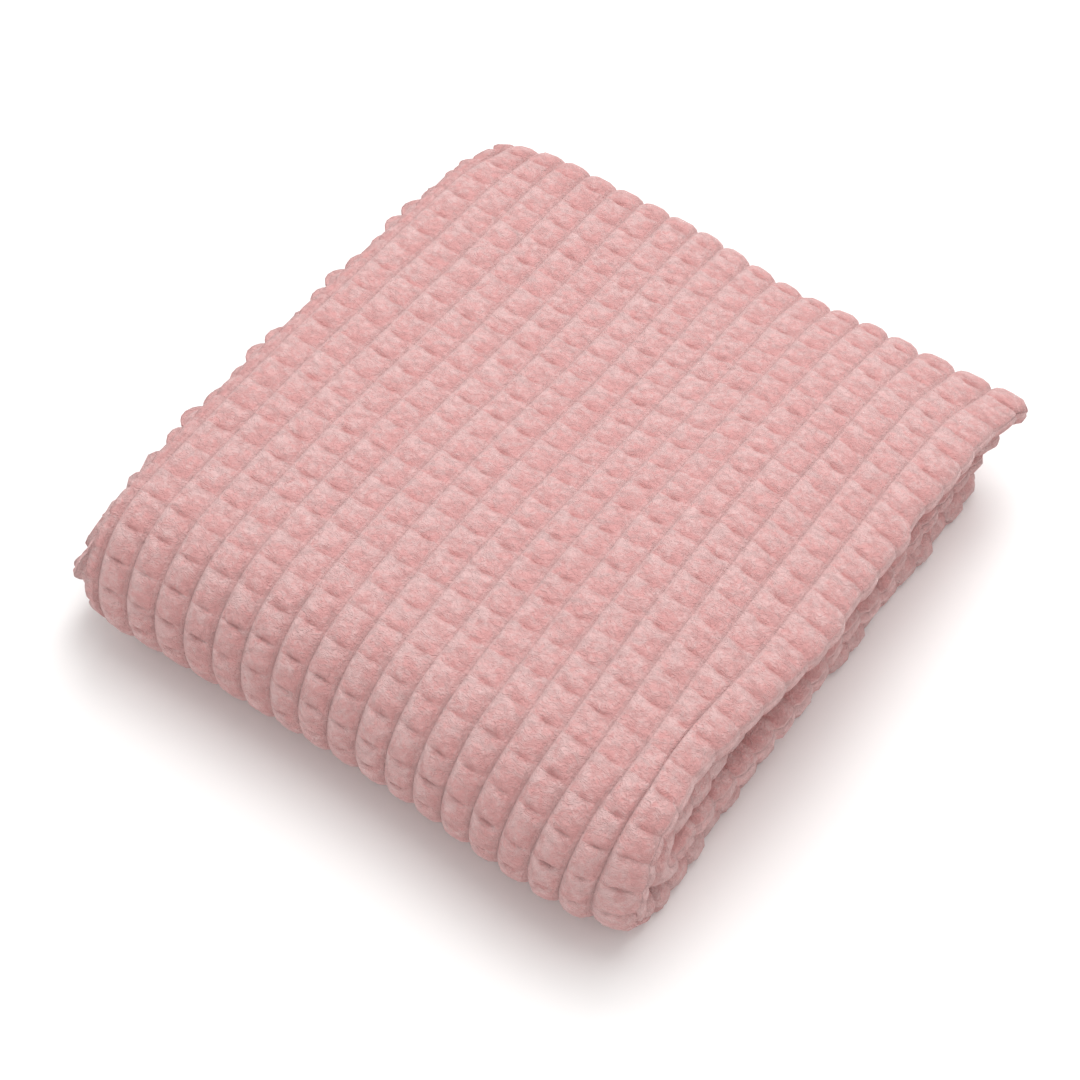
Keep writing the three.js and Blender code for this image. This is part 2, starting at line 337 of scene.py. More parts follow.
def slide(x, walked):
    """Sideways shift of a point, between its bundle's left and right shifts."""
    knots, left, right = lay_knots()
    share = smooth(-TOP_WIDTH / 2, TOP_WIDTH / 2, x)
    return np.interp(walked, knots, left) * (1 - share) + np.interp(walked, knots, right) * share


def lobe(row):
    """Full between two creases and notched at a crease, 1 from notch to crown."""
    return np.sqrt(np.abs(np.sin(math.pi * row))) - LOBE_LEVEL


def on_top(stations):
    """Whether a length along the stack lies in the top bundle or in the upper part of the big fold."""
    front = along.leg("front fold")
    return (stations > (front[0] + front[1]) / 2) & (stations < along.leg("top")[1])


def roll(marks, stations, over, height):
    """Sideways shift of the rolled edges at the right, for a point this far over the start of the roll
    and at this height in its bundle."""
    row = row_of(stations, row_height(marks))
    uneven = ROLL_UNEVEN * loose_at(0, np.full_like(row, ROLL_RIB), row + 0.5)
    lobes = np.where(on_top(stations), ROLL_LOBE, LOWER_LOBE) * lobe(row)
    near = (stations - along.leg("top")[0] - TUCK_FROM) / TUCK_LONG
    tuck = TUCK_IN * np.exp(-near ** 2) * smooth(TUCK_START, TUCK_END, over)
    return smooth(ROLL_START, ROLL_END, over) * (ROLL_LEAN * height + lobes + uneven) - tuck


def wave(marks, stations):
    """Sideways shift of the free cloth edges at the left."""
    low = smooth(EDGE_START, 1, 1 - across.share(marks, "lowest"))
    high = smooth(EDGE_START, 1, across.share(marks, "third"))
    turns = 2 * math.pi * EDGE_WAVES * stations / BUNDLE_RUN
    flare = EDGE_FLARE * np.sin(math.pi * along.share(stations, "front fold") ** FLARE_LOW)
    flare = flare - EDGE_RECEDE * np.exp(-((stations - along.leg("top")[0]) / RECEDE_LONG) ** 2)
    edge = 1 - smooth(0, SCALLOP_WIDE, np.minimum(marks, across.total - marks))
    edge = edge * (1 - SCALLOP_CALM * around_front(stations))
    scallops = -SCALLOP * edge * (lobe(row_of(stations, across.at(marks)[0][..., 1])) + SCALLOP_OUT)
    lower = low * (EDGE_WAVE * np.sin(turns) - flare)
    upper = high * (EDGE_WAVE * np.sin(turns + EDGE_SHIFT) - flare)
    return lower + upper + scallops


def hem(marks, stations):
    """Share of the cloth's thickness, less towards its hems."""
    edge = np.minimum(np.minimum(marks, across.total - marks), np.minimum(stations, along.total - stations))
    return HEM_TAPER + (1 - HEM_TAPER) * smooth(0, HEM_WIDTH, edge)


def lift(x, y):
    """How many times higher the loose stack stands here than a pressed one."""
    total = np.ones_like(x)
    for sx, sy, wide, long, share in SWELL:
        total = total + share * np.exp(-(((x - sx) / wide) ** 2 + ((y - sy) / long) ** 2))
    return total


def skin(marks, stations, side):
    """Points of one face of the cloth, side 1 for the puffed face and -1 for the other."""
    spot_a, normal_a = across.at(marks)
    spot_s, normal_s = along.at(stations)
    out = np.where(side > 0, CLOTH * hem(marks, stations) - CLOTH / 2, -CLOTH / 2)
    beside = spot_a[..., 0] + out * normal_a[..., 0]
    height = spot_a[..., 1] + out * normal_a[..., 1]
    x = beside + slide(spot_a[..., 0], stations) + wave(marks, stations)
    x = x + roll(marks, stations, beside - FACE_END, height)
    y = spot_s[..., 0] - height * normal_s[..., 0]
    z = spot_s[..., 1] - height * normal_s[..., 1]
    higher = lift(x, y)
    straight = np.clip(y, -BUNDLE_RUN / 2, BUNDLE_RUN / 2)
    bulge = np.where(y < 0, BULGE_REACH * np.exp(-((x - BULGE_X) / BULGE_WIDE) ** 2), 0)
    drawn = np.where(y < 0, CORNER_DRAW * smooth(CORNER_START, CORNER_END, x), 0)
    y = straight + (y - straight) * (higher + bulge - drawn)
    reach = REACH_OUT * smooth(*REACH_RIGHT, x) * smooth(*REACH_HIGH, z) * smooth(*REACH_BACK, y)
    drawn_in = REACH_DRAWN * (1 - smooth(*REACH_LEFT, x)) * smooth(*REACH_BACK, y)
    return np.stack([
        x + SKEW_FAN * x * y + SKEW_LEAN * y ** 2 + reach + drawn_in,
        y + SKEW_ACROSS * x + SKEW_BOW * x ** 2 + reach - drawn_in,
        z * higher,
    ], -1)


# Marks for the mesh
# Marks within one rib and within one row, closer together at the groove and at the crease
RIB_MARKS = np.array([0.0, 0.035, 0.12, 0.3, 0.5, 0.7, 0.88, 0.965])
ROW_MARKS = np.array([0.0, 0.05, 0.13, 0.28, 0.5, 0.73, 0.88, 0.95])
HIDDEN_RIB_MARKS = RIB_MARKS[::2]
HIDDEN_ROW_MARKS = ROW_MARKS[[0, 1, 3, 5, 7]]
HEM_MARKS = np.array([0.0, 2.0, 4.5])   # from the edge, in millimetres
FREE_MARK = 1.5                         # and the mark beside the third leg's free edge
EDGE_SHOWS = 0.88                       # share of the third leg from which its ribs have marks

# Where ribs and rows of the whole cloth are counted, and how close to the ends of a stretch a mark may come
RIBS_BEYOND, ROWS_FROM, ROWS_TO = 60, -30, 120
RIB_MARGIN, ROW_MARGIN = 0.5, 0.03      # in millimetres and in rows
STRETCH_GAP = 2.0                       # between two stretches with different marks
PROBES = 8001                           # places along the stack at which its rows are counted
NEAR_RIBS, FAR_RIBS, PRESSED_MARKS = 1.4, 1.0, 9    # ribs with marks at the ends of a face that is inside

# Even marks where no pattern shows: the leg, how many, and over which part of it
BEFORE_FACE = (("lowest", 7, 0, 0.09), ("lowest", 4, 0.09, 0.94), ("lowest", 5, 0.94, 1))
AFTER_FACE = (("second", 2, 0, 0.06), ("second", 3, 0.06, 0.95), ("second", 2, 0.95, 1),
              ("inner fold", 5, 0, 1), ("third", 3, 0, EDGE_SHOWS))
PLAIN_SIDE = (("lowest", 3, 0, 0.05), ("lowest", 4, 0.05, 1), ("right fold", 5, 0, 1), ("face", 10, 0, 1),
              ("left lip", 1, 0, 1), ("left fold", 4, 0, 1), ("second", 4, 0, 1), ("inner fold", 4, 0, 1),
              ("third", 3, 0, EDGE_SHOWS))
INNER_FOLD_MARKS = 8


def spread(route, name, count, first=0.0, last=1.0):
    """Even marks over part of a leg, without its last point."""
    start, end = route.leg(name)
    shares = first + (last - first) * np.arange(count) / count
    return start + (end - start) * shares


def rib_marks(first, last, within):
    """Marks at the ribs' own places, between two lengths across the cloth."""
    ribs = (np.arange(-RIBS_BEYOND, RIBS_ON_TOP + RIBS_BEYOND)[:, None] + within[None, :]).ravel()
    walked = (RIBS_ON_TOP - ribs) * RIB_PITCH + across.leg("face")[0] - RIGHT_TUCK
    return np.sort(walked[(walked > first + RIB_MARGIN) & (walked < last - RIB_MARGIN)])


def free_edge_marks():
    """Marks on the last part of the third leg, up to its free edge."""
    start, end = across.leg("third")
    shows = start + EDGE_SHOWS * (end - start)
    return np.concatenate([[shows], rib_marks(shows, end, HIDDEN_RIB_MARKS), [end - FREE_MARK, end]])


def across_marks(face):
    """Marks across the puffed side, dense on the face where it shows and at its ends where it doesn't."""
    start = across.leg("lowest")[1]
    end = across.leg("left fold")[1]
    if face:
        middle = rib_marks(start + RIB_MARGIN, end, RIB_MARKS)
    else:
        near = across.leg("face")[0] + NEAR_RIBS * RIB_PITCH
        far = across.leg("face")[1] - FAR_RIBS * RIB_PITCH
        middle = np.concatenate([
            rib_marks(start + RIB_MARGIN, near, RIB_MARKS), np.linspace(near, far, PRESSED_MARKS),
            rib_marks(far, end, HIDDEN_RIB_MARKS),
        ])
    before = [spread(across, *part) for part in BEFORE_FACE]
    after = [spread(across, *part) for part in AFTER_FACE]
    return np.concatenate(before + [[start], middle] + after + [free_edge_marks()])


def plain_marks():
    """Marks across the plain side, which only shows at its free edge."""
    return np.concatenate([spread(across, *part) for part in PLAIN_SIDE] + [free_edge_marks()])


def row_marks(first, last, within):
    """Marks at the rows' own places, from one length along the stack to another, ends included."""
    probe = np.linspace(first, last, PROBES)
    rows = row_of(probe, OUTER_TURN)
    wanted = (np.arange(ROWS_FROM, ROWS_TO)[:, None] + within[None, :]).ravel()
    wanted = wanted[(wanted > rows.min() + ROW_MARGIN) & (wanted < rows.max() - ROW_MARGIN)]
    return np.concatenate([[first], np.interp(wanted, rows, probe), [last]])


def along_marks():
    """Marks along the stack, in three stretches: the bottom, the face that shows, and what is inside."""
    front, back = along.leg("front fold"), along.leg("back fold")
    inner, end = along.leg("inner fold"), along.total
    bottom = [HEM_MARKS, row_marks(HEM_WIDTH, front[0] - STRETCH_GAP, HIDDEN_ROW_MARKS)]
    inside = [
        row_marks(back[1] + STRETCH_GAP, inner[0], HIDDEN_ROW_MARKS),
        spread(along, "inner fold", INNER_FOLD_MARKS)[1:],
        row_marks(inner[1], end - HEM_WIDTH, HIDDEN_ROW_MARKS),
        end - HEM_MARKS[::-1],
    ]
    return np.concatenate(bottom), row_marks(front[0], back[1], ROW_MARKS), np.concatenate(inside)


# The mesh of the cloth
def zipped(ids_a, marks_a, ids_b, marks_b):
    """Triangles between two neighbouring lines of points that are spaced differently."""
    faces = []
    i = j = 0
    while i < len(ids_a) - 1 or j < len(ids_b) - 1:
        if j == len(ids_b) - 1 or (i < len(ids_a) - 1 and marks_a[i + 1] <= marks_b[j + 1]):
            faces.append([ids_a[i], ids_b[j], ids_a[i + 1]])
            i += 1
        else:
            faces.append([ids_a[i], ids_b[j], ids_b[j + 1]])
            j += 1
    return faces


def woven(marks, stations, side):
    """Points of one side of the cloth at these marks and stations, and what the pattern needs to know."""
    rib, row = rib_of(marks), row_of(stations, row_height(marks))
    points = skin(marks + groove_wander(rib, row), stations + crease_wander(rib, row), side)
    outward = np.cross(np.gradient(points, axis=1), np.gradient(points, axis=0)) * -side
    outward /= np.linalg.norm(outward, axis=-1, keepdims=True) + 1e-9
    on_floor = smooth(FLOOR_START, FLOOR_END, -outward[..., 2]) * (points[..., 2] < FLOOR_REACH)
    relief = (1 - on_floor) * np.where(marks > across.leg("left fold")[1], INNER_RELIEF, 1.0)
    free = smooth(FREE_START, FREE_END, across.share(marks, "third"))
    relief = np.maximum(relief, free)
    over_back = smooth(BACK_START, BACK_END, stations - along.leg("back fold")[0])
    over_back = over_back * (stations < along.leg("second")[0])
    rolled = smooth(CALM_START, CALM_END, across.at(marks)[0][..., 0] - FACE_END)
    calm = np.where(on_top(stations), ROLL_CALM, -ROLL_DEEPEN) * rolled
    return {
        "points": points,
        "outward": outward,
        "rib": rib,
        "row": row,
        "relief": relief * (1 - calm) if side > 0 else BACK_RELIEF * free,
        "roundness": around_front(stations) + BACK_ROUND * over_back,
    }


def in_columns(values):
    """A block's values one below the other, points and directions in three columns."""
    return values.reshape(-1, 3) if values.ndim == 3 else values.ravel()


def cloth_mesh():
    """Closed body of the cloth, with the pattern's place, weight and outward way on each point."""
    stretches = along_marks()
    stations = np.concatenate(stretches)
    plain = plain_marks()
    blocks, faces, lines, start = [], [], [], 0
    for marks, rows, side in (
            (across_marks(False), stretches[0], 1), (across_marks(True), stretches[1], 1),
            (across_marks(False), stretches[2], 1), (plain, stations, -1)):
        marks_at, stations_at = np.meshgrid(marks, rows)
        blocks.append(woven(marks_at, stations_at, side))
        ids = np.arange(marks_at.size).reshape(marks_at.shape) + start
        start += marks_at.size
        quads = np.stack([ids[:-1, :-1], ids[1:, :-1], ids[1:, 1:], ids[:-1, 1:]], -1).reshape(-1, 4)
        faces += (quads if side > 0 else quads[:, ::-1]).tolist()
        if side > 0:
            if lines:
                faces += zipped(lines[-1][0], lines[-1][1], ids[0], marks)
            lines += [(line, marks) for line in ids]
        else:
            back = ids
    for j in range(len(lines) - 1):
        near, far = lines[j][0], lines[j + 1][0]
        faces.append([near[0], back[j, 0], back[j + 1, 0], far[0]])
        faces.append([far[-1], back[j + 1, -1], back[j, -1], near[-1]])
    faces += [face[::-1] for face in zipped(lines[0][0], lines[0][1], back[0], plain)]
    faces += zipped(lines[-1][0], lines[-1][1], back[-1], plain)
    joined = {}
    for name in blocks[0]:
        joined[name] = np.concatenate([in_columns(block[name]) for block in blocks]).astype(np.float32)
    mesh = bpy.data.meshes.new("blanket")
    mesh.from_pydata((joined["points"] * MM).tolist(), [], faces)
    for name in ("rib", "row", "relief", "roundness"):
        mesh.attributes.new(name, "FLOAT", "POINT").data.foreach_set("value", joined[name])
    outward = mesh.attributes.new("outward", "FLOAT_VECTOR", "POINT")
    outward.data.foreach_set("vector", joined["outward"].ravel())
    mesh.update()
    return mesh


# Small helpers
def linear(code):
    """Linear colour from an sRGB hex value."""
    parts = [int(code[k:k + 2], 16) / 255 for k in (1, 3, 5)]
    return tuple(c / 12.92 if c <= 0.04045 else ((c + 0.055) / 1.055) ** 2.4 for c in parts) + (1.0,)


def node(tree, kind, settings=None, *inputs, **named):
    """Adds a node with its settings, or with its operation as a plain word. The inputs that are in use
    take their values in order, the others by name. A value is a number, a colour, a node or a socket."""
    made = tree.nodes.new(kind)
    if isinstance(settings, str):
        settings = {"operation": settings}
    for name, value in (settings or {}).items():
        setattr(made, name, value)
    in_use = [socket for socket in made.inputs if socket.enabled]
    by_name = [(made.inputs[name], value) for name, value in named.items()]
    for socket, value in list(zip(in_use, inputs)) + by_name:
        if isinstance(value, bpy.types.Node):
            value = next(output for output in value.outputs if output.enabled)
        if isinstance(value, bpy.types.NodeSocket):
            tree.links.new(value, socket)
        else:
            socket.default_value = value
    return made


MATH = "ShaderNodeMath"
RANGE = "ShaderNodeMapRange"
EASED = {"interpolation_type": "SMOOTHSTEP"}


def rib_and_crease(tree, rib, row):
    """Place in the pattern: across the rib from -0.5 to 0.5, off its middle from 0 to 1 at the groove,
    the nearest crease's number, and how far away that crease is, in rows."""
    across_rib = node(tree, MATH, "SUBTRACT", node(tree, MATH, "FRACT", rib), 0.5)
    off_middle = node(tree, MATH, "MULTIPLY", node(tree, MATH, "ABSOLUTE", across_rib), 2.0)
    crease = node(tree, MATH, "ROUND", row)
    from_crease = node(tree, MATH, "SUBTRACT", row, crease)
    return across_rib, off_middle, crease, from_crease


def bell(tree, distance, width):
    """1 in the middle and close to 0 from twice the width on."""
    share = node(tree, MATH, "DIVIDE", distance, width)
    square = node(tree, MATH, "MULTIPLY", share, share)
    return node(tree, MATH, "EXPONENT", node(tree, MATH, "MULTIPLY", square, -1.0))


# The puffed pattern
# Sizes of the pattern: depths in millimetres, widths as shares of the rib or row pitch
PUFFS = {
    "Rib height": 2.2,          # from groove to crown on the flat top
    "Fold height": 5.6,         # and around the big fold, where the ribs stand rounder
    "Crown": 0.8,               # how far a crown stands above the folded sheet
    "Rib squareness": 5.0,      # more is flatter on the crown and steeper at the groove
    "Fold squareness": 2.6,     # and around the big fold
    "Hollow depth": 0.6,        # of the broad dip between two puffs
    "Crease depth": 0.95,       # of the short pinched dent in the hollow
    "Crease width": 0.06,       # of that dent, along the rib
    "Crease reach": 0.34,       # and half its length, across the rib
    "Crease offset": 0.05,      # how far right of the rib's middle its own middle is
    "Fold deepens": 1.75,       # how many times deeper dips and creases are around the big fold
    "Unevenness": 1.0,          # of the brushed face, from its deepest to its highest place
}
RIBS_APART = 131.0                  # rows between two ribs' own numbers, so that each crease has its own
SHALLOW, DEEP = 0.55, 1.35          # how deep a crease is, in creases of the usual depth
HOLLOW_STEEP = 2.2                  # 1 would be an even slope down to the crease
HOLLOW_EDGE, HOLLOW_MIDDLE = 0.8, 0.1   # off the rib's middle, where the hollow ends and is full
DENT_FULL = 0.08                    # off the dent's middle, where it is full
UNEVEN_SCALE, UNEVEN_DETAIL = 1.7, 3.0  # humps to a rib or row, and how fine they break up
PUFF_SEED = 7


def puff_tree():
    """Raises ribs and puffs on the folded cloth, from the rib and row counts on its points."""
    tree = bpy.data.node_groups.new("Puffed ribs", "GeometryNodeTree")
    face = tree.interface
    face.new_socket("Geometry", in_out="INPUT", socket_type="NodeSocketGeometry")
    for name, value in PUFFS.items():
        face.new_socket(name, in_out="INPUT", socket_type="NodeSocketFloat").default_value = value
    face.new_socket("Seed", in_out="INPUT", socket_type="NodeSocketInt").default_value = PUFF_SEED
    face.new_socket("Material", in_out="INPUT", socket_type="NodeSocketMaterial")
    face.new_socket("Geometry", in_out="OUTPUT", socket_type="NodeSocketGeometry")
    given = tree.nodes.new("NodeGroupInput").outputs
    attribute = "GeometryNodeInputNamedAttribute"
    rib = node(tree, attribute, {"data_type": "FLOAT"}, "rib")
    row = node(tree, attribute, {"data_type": "FLOAT"}, "row")
    relief = node(tree, attribute, {"data_type": "FLOAT"}, "relief")
    roundness = node(tree, attribute, {"data_type": "FLOAT"}, "roundness")
    outward = node(tree, attribute, {"data_type": "FLOAT_VECTOR"}, "outward")
    across_rib, off_middle, crease, from_crease = rib_and_crease(tree, rib, row)

    # Every crease has its own depth
    rib_start = node(tree, MATH, "MULTIPLY", node(tree, MATH, "FLOOR", rib), RIBS_APART)
    cell = node(tree, MATH, "ADD", rib_start, crease)
    share = node(tree, "FunctionNodeRandomValue", {"data_type": "FLOAT"}, SHALLOW, DEEP, cell, given["Seed"])

    # Rib: a broad crown that falls off steeply to the groove
    squareness = node(tree, RANGE, None, roundness, 0.0, 1.0,
                      given["Rib squareness"], given["Fold squareness"])
    edge = node(tree, MATH, "POWER", off_middle, squareness)
    crown = node(tree, MATH, "SUBTRACT", 1.0, edge)

    # Puffs: round along the rib, with a short pinched dent between two
    off_crease = node(tree, MATH, "MULTIPLY", node(tree, MATH, "ABSOLUTE", from_crease), 2.0)
    nearness = node(tree, MATH, "SUBTRACT", 1.0, off_crease)
    dip = node(tree, MATH, "POWER", nearness, HOLLOW_STEEP)
    in_hollow = node(tree, RANGE, EASED, off_middle, HOLLOW_EDGE, HOLLOW_MIDDLE)
    dip = node(tree, MATH, "MULTIPLY", dip, in_hollow)
    dip = node(tree, MATH, "MULTIPLY", dip, given["Hollow depth"])
    deeper = node(tree, RANGE, None, roundness, 0.0, 1.0, 1.0, given["Fold deepens"])
    off_dent = node(tree, MATH, "ABSOLUTE", node(tree, MATH, "SUBTRACT", across_rib, given["Crease offset"]))
    in_dent = node(tree, RANGE, EASED, off_dent, given["Crease reach"], DENT_FULL)
    dent = node(tree, MATH, "MULTIPLY", bell(tree, from_crease, given["Crease width"]), in_dent)
    dent = node(tree, MATH, "MULTIPLY", dent, node(tree, MATH, "MULTIPLY", share, given["Crease depth"]))
    depth = node(tree, RANGE, None, roundness, 0.0, 1.0, given["Rib height"], given["Fold height"])
    height = node(tree, MATH, "MULTIPLY", node(tree, MATH, "SUBTRACT", crown, 1.0), depth)
    dents = node(tree, MATH, "MULTIPLY", node(tree, MATH, "ADD", dip, dent), deeper)
    height = node(tree, MATH, "SUBTRACT", height, dents)
    height = node(tree, MATH, "ADD", height, given["Crown"])

    # Loose unevenness of the brushed face
    place = node(tree, "ShaderNodeCombineXYZ", None, rib, row)
    soft = node(tree, "ShaderNodeTexNoise", None, place, Scale=UNEVEN_SCALE, Detail=UNEVEN_DETAIL)
    uneven = node(tree, MATH, "MULTIPLY", node(tree, MATH, "SUBTRACT", soft, 0.5), given["Unevenness"])
    height = node(tree, MATH, "MULTIPLY", node(tree, MATH, "ADD", height, uneven), relief)
    height = node(tree, MATH, "MULTIPLY", height, MM)
    move = node(tree, "ShaderNodeVectorMath", "SCALE", outward, height)
    moved = node(tree, "GeometryNodeSetPosition", None, Geometry=given["Geometry"], Offset=move)
    kept = node(tree, "GeometryNodeStoreNamedAttribute", {"data_type": "FLOAT", "domain": "POINT"},
                Geometry=moved, Name="dent_share", Value=share)
    even = node(tree, "GeometryNodeSetShadeSmooth", None, Geometry=kept)
    real = node(tree, "GeometryNodeRealizeInstances", None, Geometry=even)
    dyed = node(tree, "GeometryNodeSetMaterial", None, Geometry=real, Material=given["Material"])
    node(tree, "NodeGroupOutput", None, dyed)
    return tree


# Brushed flannel
# Pink and pale of the nap; the pale also serves as painted highlight and the pink as painted shade on each
# puff
NAP_PINK_AND_SHADE, NAP_PALE_AND_HIGHLIGHT = "#D09896", "#D7B2B0"
STRIP_PALE = "#D5ADAB"
# Painted shade in the grooves
GROOVE_SHADE_GREY = "#B59391"
# Painted shade in the pinched dents
DENT_SHADE_ROSE = "#B8716E"
SHEEN_PALE = "#EFE0DE"
BOARD_WHITE = "#F7F6F5"

# Patterns of the pile, in cells to a metre
DRIFT = 130.0               # 7.7 mm: the combing wanders over these
STRAND = 1250.0             # 0.8 mm: strands, far wider than a real fibre, so that they show in the render
TUFT = 560.0                # 1.8 mm: tufts of the pile
PATCH = 170.0               # 5.9 mm: patches in which the nap leans one way
BROAD = 16.0                # 62 mm: broad shades of the nap
FINE = 0.6                  # how much the finer cells of a pattern count
COMB_WANDER = 0.009         # how far a strand wanders, in metres
COMB_LONG = 0.22            # width of a strand as a share of its length

# How much each pattern says on where the nap leans, and between which values it goes from pink to pale
PATCH_LEANS, BROAD_LEANS, STRAND_LEANS = 2.1, 0.5, 1.3
# Painted highlight and shade: paler towards the far end of each row and on the left of each rib, where the
# light falls, pinker on the near right, in shade
ROW_HIGHLIGHT, ROW_HIGHLIGHT_MIDDLE, RIB_HIGHLIGHT = 0.5, 0.55, 0.55
PINK_AT, PALE_AT = -0.55, 0.6

# Where the pale strip and the painted shade of the groove set in and are full, off the rib's middle, and how
# strong they are
STRIP_START, STRIP_END, STRIP_SHARE = 0.78, 0.88, 0.55
GROOVE_START, GROOVE_END, GROOVE_SHADE_SHARE = 0.93, 0.985, 0.18

# The same for the painted shade in a dent, off its own middle, with its width in rows
DENT_START, DENT_END, DENT_ROWS, DENT_SHADE_SHARE = 0.3, 0.1, 0.1, 0.3
PILE_STRENGTH, PILE_DEPTH = 0.9, 0.0014     # depth in metres


def flannel():
    """Brushed polyester flannel, a dense pile of fine fibres about 3 mm long. To the eye it is quite matt and
    whitish where it is seen edge on. Its colour holds painted highlight on the far left of each puff and
    painted shade on its right, in its grooves and in its dents, over random patches where the nap leans away,
    pale, or in, pink."""
    made = bpy.data.materials.new("Brushed flannel")
    made.use_nodes = True
    tree = made.node_tree
    shader = tree.nodes["Principled BSDF"]
    shader.inputs["Roughness"].default_value = 0.95
    shader.inputs["Specular IOR Level"].default_value = 0.1
    shader.inputs["Sheen Weight"].default_value = 0.4
    shader.inputs["Sheen Roughness"].default_value = 0.5
    shader.inputs["Sheen Tint"].default_value = linear(SHEEN_PALE)

    spot = node(tree, "ShaderNodeTexCoord").outputs["Object"]
    own = "ShaderNodeAttribute"
    rib = node(tree, own, {"attribute_name": "rib"}).outputs["Fac"]
    row = node(tree, own, {"attribute_name": "row"}).outputs["Fac"]
    dent_share = node(tree, own, {"attribute_name": "dent_share"}).outputs["Fac"]
    across_rib, off_middle, crease, from_crease = rib_and_crease(tree, rib, row)
    mix = {"data_type": "RGBA"}

    # Pile: strands under a millimetre wide and a few long, combed across the ribs and wandering
    drift = node(tree, "ShaderNodeTexNoise", None, spot, Scale=DRIFT, Detail=1.0).outputs["Color"]
    combed = node(tree, "ShaderNodeVectorMath", "MULTIPLY_ADD", drift, (COMB_WANDER,) * 3, spot)
    combed = node(tree, "ShaderNodeMapping", None, Vector=combed, Scale=(COMB_LONG, 1.0, 1.0))
    strand = node(tree, "ShaderNodeTexNoise", None, combed, Scale=STRAND, Detail=2.0, Roughness=FINE)

    # Painted highlight and shade: pale on the far left of each puff, where the light falls, and pink on its
    # right, in shade, over random patches of the nap a few millimetres wide
    patch = node(tree, "ShaderNodeTexNoise", None, spot, Scale=PATCH, Detail=3.0, Roughness=FINE,
                 Distortion=0.6)
    broad = node(tree, "ShaderNodeTexNoise", None, spot, Scale=BROAD, Detail=2.0)
    # Painted highlight on the far left of each puff and painted shade on its near right, before the random
    # nap patterns are added
    far = node(tree, MATH, "FRACT", row)
    highlight_and_nap = node(tree, MATH, "MULTIPLY", node(tree, MATH, "SUBTRACT", far, ROW_HIGHLIGHT_MIDDLE), ROW_HIGHLIGHT)
    highlight_and_nap = node(tree, MATH, "SUBTRACT", highlight_and_nap, node(tree, MATH, "MULTIPLY", across_rib, RIB_HIGHLIGHT))
    for pattern, leans in ((patch, PATCH_LEANS), (broad, BROAD_LEANS), (strand, STRAND_LEANS)):
        off_mean = node(tree, MATH, "SUBTRACT", pattern, 0.5)
        highlight_and_nap = node(tree, MATH, "ADD", highlight_and_nap, node(tree, MATH, "MULTIPLY", off_mean, leans))
    pale = node(tree, RANGE, EASED, highlight_and_nap, PINK_AT, PALE_AT)
    colour = node(tree, "ShaderNodeMix", mix, pale, linear(NAP_PINK_AND_SHADE), linear(NAP_PALE_AND_HIGHLIGHT))

    # The woven lines: combed strips beside a groove, painted shade in the groove itself, and painted shade in
    # the pinched dents
    strip = node(tree, RANGE, EASED, off_middle, STRIP_START, STRIP_END)
    strip = node(tree, MATH, "MULTIPLY", strip, STRIP_SHARE)
    colour = node(tree, "ShaderNodeMix", mix, strip, colour, linear(STRIP_PALE))
    relief = node(tree, own, {"attribute_name": "relief"}).outputs["Fac"]
    # Painted shade in the groove, weaker where the relief is less
    line = node(tree, RANGE, EASED, off_middle, GROOVE_START, GROOVE_END)
    line = node(tree, MATH, "MULTIPLY", node(tree, MATH, "MULTIPLY", line, relief), GROOVE_SHADE_SHARE)
    colour = node(tree, "ShaderNodeMix", mix, line, colour, linear(GROOVE_SHADE_GREY))
    # Painted shade in the pinched dents, darker where a dent is deeper
    off_dent = node(tree, MATH, "ABSOLUTE", node(tree, MATH, "SUBTRACT", across_rib, PUFFS["Crease offset"]))
    in_dent = node(tree, RANGE, EASED, off_dent, DENT_START, DENT_END)
    dent = node(tree, MATH, "MULTIPLY", bell(tree, from_crease, DENT_ROWS), in_dent)
    dent = node(tree, MATH, "MULTIPLY", dent, node(tree, MATH, "MULTIPLY", dent_share, DENT_SHADE_SHARE))
    colour = node(tree, "ShaderNodeMix", mix, dent, colour, linear(DENT_SHADE_ROSE))
    tree.links.new(colour.outputs[2], shader.inputs["Base Color"])

    tuft = node(tree, "ShaderNodeTexNoise", None, spot, Scale=TUFT, Detail=2.0, Roughness=FINE)
    pile = node(tree, MATH, "ADD", strand, tuft)
    bump = node(tree, "ShaderNodeBump", None, Height=pile, Strength=PILE_STRENGTH, Distance=PILE_DEPTH)
    tree.links.new(bump.outputs[0], shader.inputs["Normal"])
    return made


def plain_floor():
    """Matt white board, smooth and without any pattern, so that nothing is seen on it but soft shadow."""
    made = bpy.data.materials.new("Matt white board")
    made.use_nodes = True
    shader = made.node_tree.nodes["Principled BSDF"]
    shader.inputs["Base Color"].default_value = linear(BOARD_WHITE)
    shader.inputs["Roughness"].default_value = 0.9
    shader.inputs["Specular IOR Level"].default_value = 0.1
    return made


# The blanket
def make_blanket():
    """The folded cloth with its puffs, as one plain mesh."""
    rough = bpy.data.objects.new("blanket_folds", cloth_mesh())
    bpy.context.collection.objects.link(rough)
    tree = puff_tree()
    modifier = rough.modifiers.new("Puffed ribs", "NODES")
    modifier.node_group = tree
    for item in tree.interface.items_tree:
        if item.in_out == "INPUT" and item.name == "Material":
            modifier[item.identifier] = flannel()
    graph = bpy.context.evaluated_depsgraph_get()
    mesh = bpy.data.meshes.new_from_object(rough.evaluated_get(graph), preserve_all_data_layers=True,
                                           depsgraph=graph)
    rough.modifiers.remove(modifier)
    old = rough.data
    rough.data = mesh
    bpy.data.meshes.remove(old)
    rough.name = "flannel_blanket"
    mesh.name = "flannel_blanket"
    return rough


